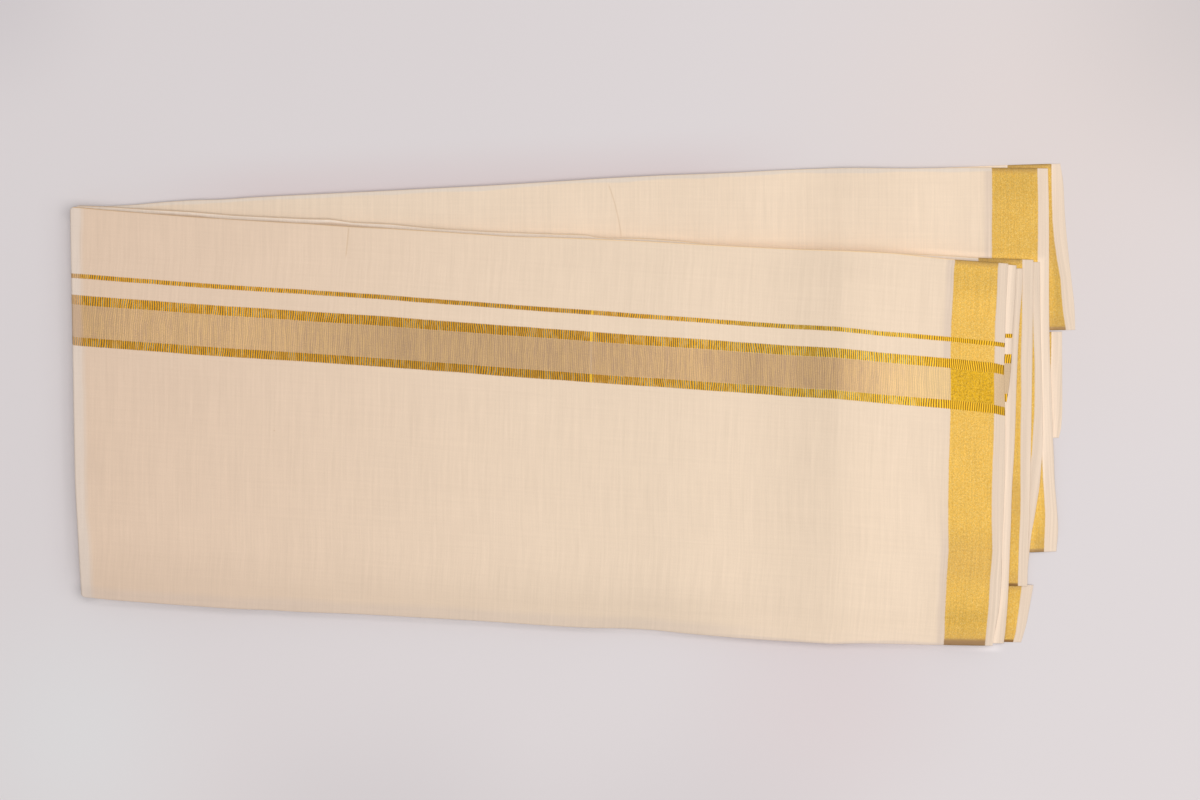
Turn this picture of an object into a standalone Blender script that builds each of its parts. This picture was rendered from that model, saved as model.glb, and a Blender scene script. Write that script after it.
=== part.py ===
"""A dhoti: one length of cream cotton with gold zari borders, folded and laid flat.

The cloth is folded in half across its width, so every stretch has its width fold on the left
and its two selvedges on the right. It is then folded again and again along its length into
stretches about 0.26 m deep. The stretches are fanned about their left end: the front packet
slopes down to the right and lies on the back packet, which rises to the right.

Origin: centre of the footprint, on the surface that the cloth lies on. X runs along the
folds to the selvedges, Y across them, Z up. Tables are in millimetres.
"""
import math
from collections import namedtuple

import bmesh
import bpy

MM = 0.001

# ---- driving sizes, mm -------------------------------------------------------------------
WALL = 1.0            # one stretch of cloth
GAP = 0.35            # air between one stretch and the next
PITCH = WALL + GAP    # from one stretch to the one that lies on it
LAYER = 0.6           # one layer in a packet's hidden core
LAYER_ROUND = 0.15    # how far down and up its rounded edge reaches
CREASE = 0.5          # how deep the crease between two layers goes in at the edge
SETTLE_Y = 54.0       # how far past a fold below it a stretch takes to sink
SETTLE_X = 90.0       # the same past a layer's end, towards the selvedges
EDGE_ROUND = 0.25     # rounding along a stretch's edges
TURN_STEPS = 4        # facets round a width fold

# Where the rows and columns of every stretch run, as shares of its depth and length. They
# are closer where it sinks over the folds beneath: low down, and towards the selvedges.
ROWS = (0.0, 0.05, 0.1, 0.15, 0.2, 0.25, 0.3, 0.36, 0.42, 0.49, 0.57, 0.7, 0.85, 1.0)
COLUMNS = (0.0, 0.09, 0.19, 0.29, 0.39, 0.49, 0.58, 0.65, 0.70, 0.74, 0.78, 0.82, 0.86,
           0.90, 0.94, 0.97, 1.0)
FLAT_ROWS = (0.0, 0.2, 0.45, 0.7, 0.88, 1.0)
FLAT_COLUMNS = (0.0, 0.15, 0.35, 0.55, 0.75, 0.9, 1.0)

# A stretch of cloth: its four corners, and the points that each edge passes between them.
# "below" and "above" run from left to right, "left" and "right" upwards.
Stretch = namedtuple("Stretch", "low_left low_right high_right high_left below right above left")

FRONT_TOP = Stretch(
    low_left=(-327.7, -128.2), low_right=(280.0, -160.7),
    high_right=(290.0, 94.0), high_left=(-334.4, 131.3),
    below=((-214.0, -136.8), (-92.0, -142.7), (31.0, -149.2), (125.0, -156.4), (200.0, -159.0)),
    right=((286.7, -130.0), (287.7, -50.0), (287.5, 39.7)),
    above=((-157.0, 119.3), (-22.0, 112.0), (155.0, 103.7), (254.0, 95.9)),
    left=((-331.1, -50.0), (-332.8, 39.3)))

FRONT_TOP_LOWER = Stretch(
    low_left=(-327.7, -127.6), low_right=(278.0, -160.0),
    high_right=(296.9, 93.6), high_left=(-334.4, 130.7),
    below=((-214.0, -136.2), (-92.0, -142.1), (31.0, -148.6), (125.0, -155.8), (200.0, -158.4)),
    right=((284.5, -130.0), (286.0, -50.0), (289.0, 2.7), (292.5, 46.7)),
    above=((-157.0, 118.7), (-22.0, 111.4), (155.0, 103.1), (254.0, 95.3)),
    left=((-331.1, -50.0), (-332.8, 39.3)))

FRONT_UNDER = Stretch(
    low_left=(-326.2, -127.0), low_right=(287.2, -159.3),
    high_right=(300.0, 93.2), high_left=(-332.6, 130.2),
    below=((-214.0, -135.4), (-92.0, -141.4), (31.0, -148.0), (125.0, -155.2), (200.0, -158.0)),
    right=((290.3, -120.7), (292.3, -70.0), (294.9, -14.7), (297.6, 50.0)),
    above=((-157.0, 118.2), (-22.0, 110.9), (155.0, 102.6), (254.0, 94.8)),
    left=((-329.6, -50.0), (-331.3, 39.3)))

MIDDLE_UPPER = Stretch(
    low_left=(-328.6, -95.0), low_right=(303.7, -120.3),
    high_right=(307.2, 96.8), high_left=(-332.6, 132.2),
    below=(),
    right=((304.4, -80.0), (305.5, -21.0), (306.4, 37.0)),
    above=((-165.0, 123.1), (-76.0, 117.5), (13.0, 113.3), (182.0, 103.4), (270.0, 97.7)),
    left=((-331.4, 20.0),))

MIDDLE_LOWER = Stretch(
    low_left=(-328.6, -94.4), low_right=(303.0, -119.5),
    high_right=(311.7, 95.3), high_left=(-332.6, 131.6),
    below=(),
    right=((307.3, -72.3), (312.7, -31.3), (313.3, -6.0), (311.9, 60.0)),
    above=((-165.0, 122.5), (-76.0, 116.9), (13.0, 112.7), (182.0, 102.8), (270.0, 97.1)),
    left=((-331.4, 20.0),))

FOOT = Stretch(
    low_left=(-325.0, -125.4), low_right=(299.3, -158.9),
    high_right=(305.9, -121.4), high_left=(-327.2, -96.4),
    below=((-214.0, -134.2), (-92.0, -140.3), (31.0, -146.9), (125.0, -154.0), (200.0, -157.0)),
    right=((302.6, -140.0),),
    above=(),
    left=())

BACK_TOP = Stretch(
    low_left=(-327.0, -121.5), low_right=(321.8, -98.0),
    high_right=(316.7, 157.9), high_left=(-328.0, 133.8),
    below=(),
    right=((323.2, -81.3), (320.2, -21.3), (317.8, 49.3), (317.3, 120.7)),
    above=((-222.0, 138.5), (-76.0, 145.3), (59.6, 153.2), (168.5, 157.2), (247.6, 158.1)),
    left=())

TAIL_UPPER = Stretch(
    low_left=(182.0, 47.0), low_right=(334.46, 50.3),
    high_right=(324.7, 160.7), high_left=(182.0, 156.0),
    below=(),
    right=((333.6, 67.3), (330.9, 94.1), (328.0, 125.0), (326.7, 149.0)),
    above=((287.0, 159.8),),
    left=())

TAIL_LOWER = Stretch(
    low_left=(182.0, -24.0), low_right=(322.8, -21.5),
    high_right=(326.0, 49.2), high_left=(182.0, 46.2),
    below=(),
    right=((325.3, -16.0), (326.1, -4.0), (326.1, 25.0)),
    above=(),
    left=())

# The hidden layers of a packet, from the lowest up: each one's set-back from the packet's
# outline, and where it ends.
Layer = namedtuple("Layer", "set_back right_end")

BACK_LAYERS = (
    Layer(set_back=2.0, right_end=176.0),
    Layer(set_back=3.4, right_end=122.0),
    Layer(set_back=2.6, right_end=68.0))

FRONT_LAYERS = (
    Layer(set_back=2.4, right_end=284.0),
    Layer(set_back=3.6, right_end=281.0),
    Layer(set_back=1.8, right_end=286.0))


# ---- curves and outlines -----------------------------------------------------------------
def smooth(share):
    """0 to 1, easing out of 0 and into 1."""
    held = min(max(share, 0.0), 1.0)
    return held * held * (3.0 - 2.0 * held)


def along(points, share):
    """The point at a share of the way along a smooth curve through the points."""
    lengths = [math.dist(a, b) for a, b in zip(points, points[1:])]
    wanted = share * sum(lengths)
    span = 0
    while span < len(lengths) - 1 and wanted > lengths[span]:
        wanted -= lengths[span]
        span += 1
    start, end = points[span], points[span + 1]
    before = points[span - 1] if span else start
    after = points[span + 2] if span + 2 < len(points) else end
    t = wanted / lengths[span]
    pull_in = lengths[span] / max(math.dist(before, end), 1e-9)
    pull_out = lengths[span] / max(math.dist(start, after), 1e-9)
    place = []
    for k in (0, 1):
        leaving = (end[k] - before[k]) * pull_in
        arriving = (after[k] - start[k]) * pull_out
        place.append((2 * t**3 - 3 * t**2 + 1) * start[k] + (t**3 - 2 * t**2 + t) * leaving
                     + (3 * t**2 - 2 * t**3) * end[k] + (t**3 - t**2) * arriving)
    return tuple(place)


def edges(stretch):
    """The stretch's bottom, right, top and left edges, each with its corners."""
    return ((stretch.low_left, *stretch.below, stretch.low_right),
            (stretch.low_right, *stretch.right, stretch.high_right),
            (stretch.high_left, *stretch.above, stretch.high_right),
            (stretch.low_left, *stretch.left, stretch.high_left))


def place_on(stretch, u, v):
    """The x, y of a point of the stretch, u of its length and v of its depth."""
    below, right, above, left = edges(stretch)
    low, high = along(below, u), along(above, u)
    near, far = along(left, v), along(right, v)
    place = []
    for k in (0, 1):
        across = (1 - v) * low[k] + v * high[k] + (1 - u) * near[k] + u * far[k]
        corners = ((1 - u) * ((1 - v) * stretch.low_left[k] + v * stretch.high_left[k])
                   + u * ((1 - v) * stretch.low_right[k] + v * stretch.high_right[k]))
        place.append(across - corners)
    return tuple(place)


def crossing(points, value, along_axis):
    """Where an edge crosses x = value (axis 0) or y = value (axis 1)."""
    other = 1 - along_axis
    for start, end in zip(points, points[1:]):
        if value <= end[along_axis]:
            break
    run = end[along_axis] - start[along_axis]
    share = min(max((value - start[along_axis]) / run, 0.0), 1.0)
    return start[other] + share * (end[other] - start[other])


def set_in(stretch, set_back, right_end):
    """The outline of a hidden layer: the stretch, smaller all round and cut off at right_end."""
    below, _, above, _ = edges(stretch)
    low_end = crossing(below, right_end, 0) + set_back
    high_end = crossing(above, right_end, 0) - set_back
    inner_below = [(x, y + set_back) for x, y in stretch.below if x < right_end - 20.0]
    inner_above = [(x, y - set_back) for x, y in stretch.above if x < right_end - 20.0]
    inner_left = [(x + set_back, y) for x, y in stretch.left]
    return Stretch(
        low_left=(stretch.low_left[0] + set_back, stretch.low_left[1] + set_back),
        low_right=(right_end, low_end), high_right=(right_end, high_end),
        high_left=(stretch.high_left[0] + set_back, stretch.high_left[1] - set_back),
        below=tuple(inner_below), right=(), above=tuple(inner_above), left=tuple(inner_left))


BACK_LAYER_OUTLINES = [set_in(BACK_TOP, *layer) for layer in BACK_LAYERS]
FRONT_LAYER_OUTLINES = [set_in(FRONT_UNDER, *layer) for layer in FRONT_LAYERS]


# ---- how high each stretch lies ----------------------------------------------------------
def cover(stretch, x, y):
    """1 over the stretch, falling to 0 past its edges as what lies on it sinks beside it."""
    below, right, above, left = edges(stretch)
    past_low = (crossing(below, x, 0) - y) / SETTLE_Y
    past_high = (y - crossing(above, x, 0)) / SETTLE_Y
    past_right = (x - crossing(right, y, 1)) / SETTLE_X
    past_left = (crossing(left, y, 1) - x) / SETTLE_X
    share = 1.0
    for past in (past_low, past_high, past_right, past_left):
        share *= 1.0 - smooth(past)
    return share


def core_height(outlines, x, y):
    """The height of a core's layers and of the air on them."""
    height = GAP * cover(outlines[0], x, y)
    for outline in outlines:
        height += LAYER * cover(outline, x, y)
    return height


def under_back_top(x, y):
    tails = PITCH * max(cover(TAIL_UPPER, x, y), cover(TAIL_LOWER, x, y))
    return max(core_height(BACK_LAYER_OUTLINES, x, y), tails)


def under_middle(x, y):
    return under_back_top(x, y) + PITCH * cover(BACK_TOP, x, y)


def under_front_core(x, y):
    pair = PITCH * (cover(MIDDLE_LOWER, x, y) + cover(MIDDLE_UPPER, x, y))
    return under_middle(x, y) + max(pair, PITCH * cover(FOOT, x, y))


def under_front_under(x, y):
    return under_front_core(x, y) + core_height(FRONT_LAYER_OUTLINES, x, y)


def under_front_top(x, y):
    return under_front_under(x, y) + PITCH * cover(FRONT_UNDER, x, y)


def on_the_surface(x, y):
    return 0.0


# ---- building ----------------------------------------------------------------------------
def clear_scene():
    for thing in list(bpy.data.objects):
        bpy.data.objects.remove(thing, do_unlink=True)


def cloth_material(name, colour, roughness):
    material = bpy.data.materials.new(name)
    material.use_nodes = True
    shader = material.node_tree.nodes["Principled BSDF"]
    shader.inputs["Base Color"].default_value = (*colour, 1.0)
    shader.inputs["Roughness"].default_value = roughness
    shader.inputs["Metallic"].default_value = 0.0
    material.diffuse_color = (*colour, 1.0)
    return material


def add_sheet(name, lines, material, collection):
    """An open surface through equal lines of points, in millimetres."""
    size = len(lines[0])
    points = [(x * MM, y * MM, z * MM) for line in lines for x, y, z in line]
    faces = []
    for row in range(len(lines) - 1):
        for step in range(size - 1):
            corner = row * size + step
            faces.append((corner, corner + 1, corner + size + 1, corner + size))
    mesh = bpy.data.meshes.new(name)
    mesh.from_pydata(points, [], faces)
    mesh.materials.append(material)
    sheet = bpy.data.objects.new(name, mesh)
    collection.objects.link(sheet)
    return sheet


def thicken(sheet, thickness, rounding):
    """Turn the sheet into a wall with softened edges."""
    wall = sheet.modifiers.new("wall", "SOLIDIFY")
    wall.thickness = thickness * MM
    wall.offset = 0.0
    wall.use_even_offset = True
    soft = sheet.modifiers.new("soft edge", "BEVEL")
    soft.width = rounding * MM
    soft.segments = 1
    soft.limit_method = "ANGLE"
    soft.angle_limit = math.radians(60.0)


def single_stretch(name, stretch, rest, material, collection, rows=ROWS, columns=COLUMNS):
    """One leaf of cloth, lying on whatever rest(x, y) says is under it."""
    lines = []
    for v in rows:
        line = []
        for u in columns:
            x, y = place_on(stretch, u, v)
            line.append((x, y, rest(x, y) + WALL / 2))
        lines.append(line)
    sheet = add_sheet(name, lines, material, collection)
    thicken(sheet, WALL, EDGE_ROUND)


def turned_stretch(name, upper, lower, rest, material, collection):
    """Two leaves in one piece, the upper one on the lower, joined by the fold on the left."""
    turn = PITCH / 2
    room = turn + WALL / 2
    lines = []
    for v in ROWS:
        line = []
        for u in reversed(COLUMNS):
            x, y = place_on(lower, u, v)
            x += room * (1 - u)
            line.append((x, y, rest(x, y) + WALL / 2))
        fold_x, fold_y, fold_z = line[-1]
        for step in range(1, TURN_STEPS):
            angle = math.pi * step / TURN_STEPS
            line.append((fold_x - turn * math.sin(angle), fold_y,
                         fold_z + turn * (1 - math.cos(angle))))
        for u in COLUMNS:
            x, y = place_on(upper, u, v)
            x += room * (1 - u)
            line.append((x, y, rest(x, y) + WALL / 2 + PITCH))
        lines.append(line)
    sheet = add_sheet(name, lines, material, collection)
    thicken(sheet, WALL, EDGE_ROUND)


def core_rings(stretch, layers):
    """The outlines that a core's edge passes through, from the bottom up, with their heights."""
    rings = []
    last = len(layers) - 1
    for number, layer in enumerate(layers):
        floor = number * LAYER
        under = layers[number - 1] if number else layer
        tuck = CREASE if number else LAYER_ROUND
        rings.append((max(layer.set_back, under.set_back) + tuck,
                      min(layer.right_end, under.right_end) - tuck, floor))
        rings.append((layer.set_back, layer.right_end, floor + LAYER_ROUND))
        rings.append((layer.set_back, layer.right_end, floor + LAYER - LAYER_ROUND))
        if number == last:
            rings.append((layer.set_back + LAYER_ROUND, layer.right_end - LAYER_ROUND,
                          floor + LAYER))
    return [(set_in(stretch, set_back, right_end), height)
            for set_back, right_end, height in rings]


def add_core(name, stretch, layers, rest, material, collection, rows, columns):
    """A packet's hidden layers in one solid, still layered along its edges."""
    rings = core_rings(stretch, layers)
    round_the_edge = ([(u, rows[0]) for u in columns[:-1]]
                      + [(columns[-1], v) for v in rows[:-1]]
                      + [(u, rows[-1]) for u in reversed(columns[1:])]
                      + [(columns[0], v) for v in reversed(rows[1:])])
    model = bmesh.new()

    def corner(outline, height, u, v):
        x, y = place_on(outline, u, v)
        return model.verts.new((x * MM, y * MM, (rest(x, y) + height) * MM))

    loops = []
    for outline, height in rings[1:-1]:
        loops.append([corner(outline, height, u, v) for u, v in round_the_edge])
    for outline, height in (rings[0], rings[-1]):
        grid = {(u, v): corner(outline, height, u, v) for u in columns for v in rows}
        for u, next_u in zip(columns, columns[1:]):
            for v, next_v in zip(rows, rows[1:]):
                model.faces.new((grid[u, v], grid[next_u, v], grid[next_u, next_v],
                                 grid[u, next_v]))
        rim = [grid[place] for place in round_the_edge]
        if height == 0.0:
            loops.insert(0, rim)
        else:
            loops.append(rim)
    for loop, next_loop in zip(loops, loops[1:]):
        for step in range(len(loop)):
            after = (step + 1) % len(loop)
            model.faces.new((loop[step], loop[after], next_loop[after], next_loop[step]))
    bmesh.ops.recalc_face_normals(model, faces=model.faces)
    mesh = bpy.data.meshes.new(name)
    model.to_mesh(mesh)
    model.free()
    mesh.materials.append(material)
    collection.objects.link(bpy.data.objects.new(name, mesh))


def build():
    clear_scene()
    collection = bpy.data.collections.new("folded_dhoti")
    bpy.context.scene.collection.children.link(collection)
    face = cloth_material("cream_cotton_face", (0.80, 0.66, 0.50), 0.9)
    inner = cloth_material("cream_cotton_inner", (0.76, 0.62, 0.47), 0.9)

    single_stretch("tail_leaf_upper", TAIL_UPPER, on_the_surface, inner, collection,
                   FLAT_ROWS, FLAT_COLUMNS)
    single_stretch("tail_leaf_lower", TAIL_LOWER, on_the_surface, inner, collection,
                   FLAT_ROWS, FLAT_COLUMNS)
    add_core("back_core", BACK_TOP, BACK_LAYERS, on_the_surface, inner, collection,
             FLAT_ROWS, FLAT_COLUMNS)
    single_stretch("back_panel", BACK_TOP, under_back_top, face, collection)
    single_stretch("foot_flap", FOOT, under_middle, inner, collection, FLAT_ROWS)
    turned_stretch("middle_panel", MIDDLE_UPPER, MIDDLE_LOWER, under_middle, face, collection)
    add_core("front_core", FRONT_UNDER, FRONT_LAYERS, under_front_core, inner, collection,
             ROWS, COLUMNS)
    single_stretch("front_under_leaf", FRONT_UNDER, under_front_under, face, collection)
    turned_stretch("front_panel", FRONT_TOP, FRONT_TOP_LOWER, under_front_top, face, collection)


build()
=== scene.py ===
"""The looks of a folded dhoti: cream cotton with gold zari borders, pressed and laid flat.

Every stretch of cloth is a closed thin wall on the form of its solid, with rounded folds on
its left and along its long edges, and a tapering selvedge on its right. The borders are woven
into one procedural cloth material, which reads two maps in metres: how far a point is from
the selvedge and from the cloth's end, and how far it is from the nearest folds.

X runs along the folds to the selvedges, Y across them, Z up. Tables are in millimetres.
"""
import math
from collections import namedtuple
from functools import reduce
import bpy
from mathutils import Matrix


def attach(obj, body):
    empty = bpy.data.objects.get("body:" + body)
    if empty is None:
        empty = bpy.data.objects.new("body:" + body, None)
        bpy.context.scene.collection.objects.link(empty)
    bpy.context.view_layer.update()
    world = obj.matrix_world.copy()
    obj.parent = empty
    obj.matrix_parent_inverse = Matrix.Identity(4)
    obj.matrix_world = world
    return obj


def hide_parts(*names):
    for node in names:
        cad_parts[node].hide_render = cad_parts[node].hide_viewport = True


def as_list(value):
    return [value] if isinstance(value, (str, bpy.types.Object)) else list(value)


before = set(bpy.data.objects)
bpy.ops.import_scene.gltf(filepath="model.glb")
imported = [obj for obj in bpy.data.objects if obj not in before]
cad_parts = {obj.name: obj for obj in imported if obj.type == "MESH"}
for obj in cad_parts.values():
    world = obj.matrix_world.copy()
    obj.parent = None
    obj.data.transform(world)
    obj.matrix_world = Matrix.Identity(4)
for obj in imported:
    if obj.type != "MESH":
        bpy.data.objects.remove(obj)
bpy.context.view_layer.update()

from types import SimpleNamespace

import bpy
import numpy as np

MM = 0.001

# ---- the stack, as the solids have it, mm ------------------------------------------------
WALL = 1.0            # one stretch of cloth
GAP = 0.35            # air between one stretch and the next
PITCH = WALL + GAP    # from one stretch to the one that lies on it
LAYER = 0.6           # one layer in a packet's hidden core
SETTLE_Y = 54.0       # how far past a fold below it a stretch takes to sink
SETTLE_X = 90.0       # the same past a layer's end, towards the selvedges
FRONT_SETTLE_X = 14.0 # past the ends of the front packet's layers

# ---- how the cloth is modelled -----------------------------------------------------------
FOLD_NOSE = 2.4       # how far in from a long edge its rounding reaches
SELVEDGE_NOSE = 0.35  # the same at a selvedge
TAPER = 13.0          # how far in from the selvedge the wall starts to thin
TAPER_TO = 0.20       # what is left of its thickness there
SINK = 0.3            # how much a leaf hangs at its selvedge, besides
CORNER = 2.2          # rounding of a stretch's corners at its width fold
CORNER_REACH = 25.0   # how far along the stretch that is taken up
TURN_STEPS = 8        # facets round a width fold
FINE = 2.8            # spacing of points on what shows, mm
COARSE = 7.0          # spacing on hidden stretches
NO_END = 1000.0       # a stretch with no end stripes is this far from the cloth's end
LEFT_END = -334.0     # the width folds
LINE_END = 287.0      # where the top stretch's end lines reach its selvedge
MIDDLE_CREASE = -159.0 # where the middle stretch has a small bend

# ---- the cut and the borders, mm from the selvedge and from the first end line -----------
HALF_WIDTH = 0.62     # metres from the width fold to the selvedge
DEPTH = 0.2585        # metres, one stretch
MARGIN = 7.0          # plain cloth outside the side border
PALE_STRIP = 6.6      # loosely woven strip beside it

# A stretch of cloth: its four corners, and the points that each edge passes between them.
# "below" and "above" run from left to right, "left" and "right" upwards. "border" is the
# outer side of the gold border from the bottom up, and "line" the first end line's middle.
# "drawn_out" is more than 1 where the end lines lie closer together.
Stretch = namedtuple("Stretch", "low_left low_right high_right high_left "
                     "border below right above left line drawn_out",
                     defaults=((), (), (), (), (), 1.0))

FIRST_LINE = ((-333.5, 86.0), (-296.0, 83.2), (-272.0, 81.3), (-222.0, 77.8), (-160.0, 73.9),
              (-118.0, 71.0), (-63.3, 66.9), (-30.0, 64.4), (13.3, 61.1), (65.3, 57.6),
              (138.0, 52.4), (174.0, 50.4), (209.3, 47.0), (250.0, 43.7), (287.0, 39.9))
LINE_RISE = 6.0       # how far the leaf beneath has its line above this one, at the selvedge

# The long folds of the front packet and of the middle stretch.
FRONT_ABOVE = ((-307.1, 129.5), (-255.3, 125.4), (-202.0, 122.1), (-175.3, 120.6),
               (-148.7, 118.7), (-122.0, 117.4), (-68.7, 113.9), (-42.0, 112.1),
               (-15.3, 111.4), (38.0, 109.3), (91.3, 106.4), (144.7, 103.8), (171.3, 102.8),
               (211.3, 101.0), (251.3, 96.9))
FRONT_BELOW = ((-303.8, -130.2), (-264.0, -133.2), (-224.2, -135.9), (-204.3, -136.6),
               (-184.4, -137.8), (-144.6, -139.3), (-104.8, -141.5), (-65.0, -143.8),
               (-25.2, -146.5), (-5.3, -147.8), (14.6, -148.7), (34.5, -149.0),
               (54.4, -150.2), (74.3, -152.3), (114.1, -155.7), (153.9, -158.2),
               (173.8, -159.2), (193.7, -158.9), (233.5, -159.8))
MIDDLE_ABOVE = ((-309.0, 132.3), (-295.3, 131.3), (-255.3, 129.0), (-228.7, 126.8),
                (-202.0, 125.4), (-175.3, 124.2), (-162.0, 124.0), (-148.7, 122.0),
                (-122.0, 120.7), (-95.3, 118.1), (-55.3, 115.6), (-15.3, 114.1), (9.0, 113.3),
                (18.5, 111.5), (38.0, 111.3), (51.3, 110.8), (78.0, 108.8), (100.0, 105.6),
                (144.7, 103.3), (198.0, 101.4), (224.7, 100.8), (251.3, 99.5), (270.0, 98.2))
FRONT_LEFT = ((-329.7, -85.0), (-331.5, -50.0), (-333.2, 39.3))


def shifted(points, rise):
    return tuple((x, y + rise) for x, y in points)


FRONT_TOP = Stretch(
    low_left=(-327.6, -128.2), low_right=(280.0, -160.7),
    high_right=(289.5, 94.0), high_left=(-334.9, 131.9),
    below=FRONT_BELOW,
    right=((284.4, -130.0), (285.8, -85.0), (286.9, -50.0), (287.0, -4.6), (286.3, 23.2),
           (286.8, 39.8), (287.0, 47.0), (287.6, 68.3)),
    above=FRONT_ABOVE,
    left=FRONT_LEFT,
    border=((274.8, -160.7), (276.1, -146.0), (277.0, -126.0), (277.3, -116.0),
            (278.1, -106.0), (278.8, -96.5), (278.3, -76.0), (278.2, -60.0), (278.3, -40.0),
            (279.1, -20.0), (279.6, 0.0), (279.7, 33.0), (279.9, 53.0), (281.0, 72.0),
            (282.2, 91.0), (282.9, 95.3)),
    line=FIRST_LINE)

FRONT_TOP_LOWER = Stretch(
    low_left=(-327.6, -127.6), low_right=(279.6, -160.0),
    high_right=(295.4, 93.0), high_left=(-334.9, 131.3),
    below=shifted(FRONT_BELOW, 0.6),
    right=((283.8, -130.0), (285.2, -85.0), (286.2, -50.0), (286.7, -12.0), (288.3, 2.7),
           (289.6, 10.0), (290.6, 18.6), (291.4, 27.9), (292.3, 46.7)),
    above=shifted(FRONT_ABOVE, -0.6),
    left=FRONT_LEFT,
    border=((271.0, -160.0), (277.5, -130.0), (279.0, -50.0), (281.8, 2.7), (285.0, 46.7),
            (289.2, 93.0)),
    line=tuple((x, y + LINE_RISE * (x - LEFT_END) / (LINE_END - LEFT_END))
               for x, y in FIRST_LINE),
    drawn_out=1.055)

FRONT_UNDER = Stretch(
    low_left=(-327.1, -127.0), low_right=(287.8, -159.3),
    high_right=(299.8, 91.0), high_left=(-334.3, 130.7),
    below=shifted(FRONT_BELOW, 1.3),
    right=((288.9, -150.0), (290.2, -126.0), (291.5, -86.0), (292.2, -58.0), (293.9, -26.5),
           (294.6, -6.6), (295.2, 13.0), (296.5, 43.0), (297.8, 63.0), (299.0, 77.0)),
    above=shifted(FRONT_ABOVE, -1.1) + ((278.0, 92.2), (290.0, 91.1)),
    left=((-329.1, -85.0), (-331.0, -50.0), (-332.7, 39.3)),
    border=((279.4, -159.3), (282.5, -120.7), (284.5, -70.0), (287.0, -14.7), (289.8, 50.0),
            (292.0, 91.0)))

MIDDLE_UPPER = Stretch(
    low_left=(-328.6, -95.9), low_right=(303.7, -121.2),
    high_right=(307.2, 96.8), high_left=(-332.6, 133.2),
    right=((304.4, -80.0), (305.5, -21.0), (306.4, 37.0)),
    above=MIDDLE_ABOVE,
    left=((-331.4, 20.0),),
    border=((297.4, -119.7), (297.5, -103.3), (298.4, -68.0), (298.4, -32.7), (298.7, 7.3),
            (298.4, 30.0), (299.1, 50.0), (299.6, 97.3)))

MIDDLE_LOWER = Stretch(
    low_left=(-328.6, -95.3), low_right=(303.0, -120.4),
    high_right=(311.7, 95.3), high_left=(-332.6, 132.6),
    right=((306.4, -86.0), (308.1, -76.0), (309.7, -66.0), (311.3, -56.0), (312.2, -46.0),
           (313.2, -31.3), (313.5, -6.0), (311.9, 60.0)),
    above=shifted(MIDDLE_ABOVE, -0.6),
    left=((-331.4, 20.0),),
    border=((296.8, -119.5), (300.8, -72.3), (306.4, -31.3), (307.9, -6.0), (308.0, 27.0),
            (306.8, 60.0), (305.5, 95.3)))

FOOT = Stretch(
    low_left=(-325.0, -125.4), low_right=(299.9, -158.9),
    high_right=(308.0, -120.5), high_left=(-327.2, -95.5),
    below=shifted(FRONT_BELOW, 2.5),
    right=((303.4, -147.0), (305.1, -138.0)),
    border=((294.5, -158.9), (296.2, -152.7), (298.4, -136.0), (300.0, -121.0)))

BACK_TOP = Stretch(
    low_left=(-328.0, -121.5), low_right=(323.4, -98.0),
    high_right=(317.6, 158.2), high_left=(-331.6, 131.2),
    right=((324.3, -84.8), (323.4, -68.7), (322.0, -52.7), (321.4, -36.7), (320.7, -21.3),
           (318.2, 49.3), (317.9, 120.7)),
    above=((-313.8, 132.8), (-293.9, 133.9), (-274.0, 135.7), (-254.1, 137.0),
           (-234.2, 137.5), (-214.3, 138.9), (-174.5, 140.9), (-134.7, 142.8),
           (-94.9, 144.8), (-55.1, 146.8), (-15.3, 149.2), (24.5, 151.7), (64.3, 153.7),
           (104.1, 155.2), (143.9, 157.3), (183.7, 158.5), (223.5, 158.2), (263.3, 158.7)),
    border=((315.0, -97.8), (315.7, -72.3), (314.1, -50.0), (311.3, 0.0), (310.2, 60.0),
            (310.4, 157.9)))

TAIL_UPPER = Stretch(
    low_left=(182.0, 47.0), low_right=(336.2, 50.3),
    high_right=(326.1, 161.6), high_left=(182.0, 156.0),
    right=((335.5, 67.3), (333.7, 83.5), (332.4, 94.1), (329.4, 125.0), (328.1, 149.0)),
    above=((287.0, 160.4),),
    border=((329.8, 50.7), (328.0, 62.7), (326.3, 83.7), (323.6, 98.7), (321.9, 110.7),
            (320.8, 122.7), (320.1, 156.7)))

TAIL_LOWER = Stretch(
    low_left=(182.0, -24.0), low_right=(325.2, -21.9),
    high_right=(327.3, 49.2), high_left=(182.0, 46.2),
    right=((326.6, -16.0), (327.4, -4.0), (327.4, 25.0)),
    border=((316.6, -21.5), (318.4, -4.0), (318.9, 13.0), (319.8, 32.0), (320.2, 49.2)))

# Which stretches lie on one: beside them, painted light brightens it where their shade falls.
LYING_ON = {BACK_TOP: (MIDDLE_UPPER, MIDDLE_LOWER, FOOT, FRONT_TOP), TAIL_UPPER: (BACK_TOP,),
            TAIL_LOWER: (BACK_TOP,), FRONT_TOP_LOWER: (FRONT_TOP,), FRONT_UNDER: (FRONT_TOP,)}

# The hidden layers of a packet, from the lowest up: each one's set-back from the packet's
# outline, and where it ends.
Layer = namedtuple("Layer", "set_back right_end")

BACK_LAYERS = (
    Layer(set_back=2.0, right_end=176.0),
    Layer(set_back=3.4, right_end=122.0),
    Layer(set_back=2.6, right_end=68.0))

FRONT_LAYERS = (
    Layer(set_back=2.4, right_end=284.0),
    Layer(set_back=3.6, right_end=281.0),
    Layer(set_back=1.8, right_end=286.0))

# ---- how the pressed cloth swells, mm ----------------------------------------------------
# Old pressing lines run down the cloth, where its slope towards the light changes: where
# one crosses Y = 0, how far it leans to the right for each mm up, how much the slope
# changes there, and how round it is.
Turn = namedtuple("Turn", "at lean change round")

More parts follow.
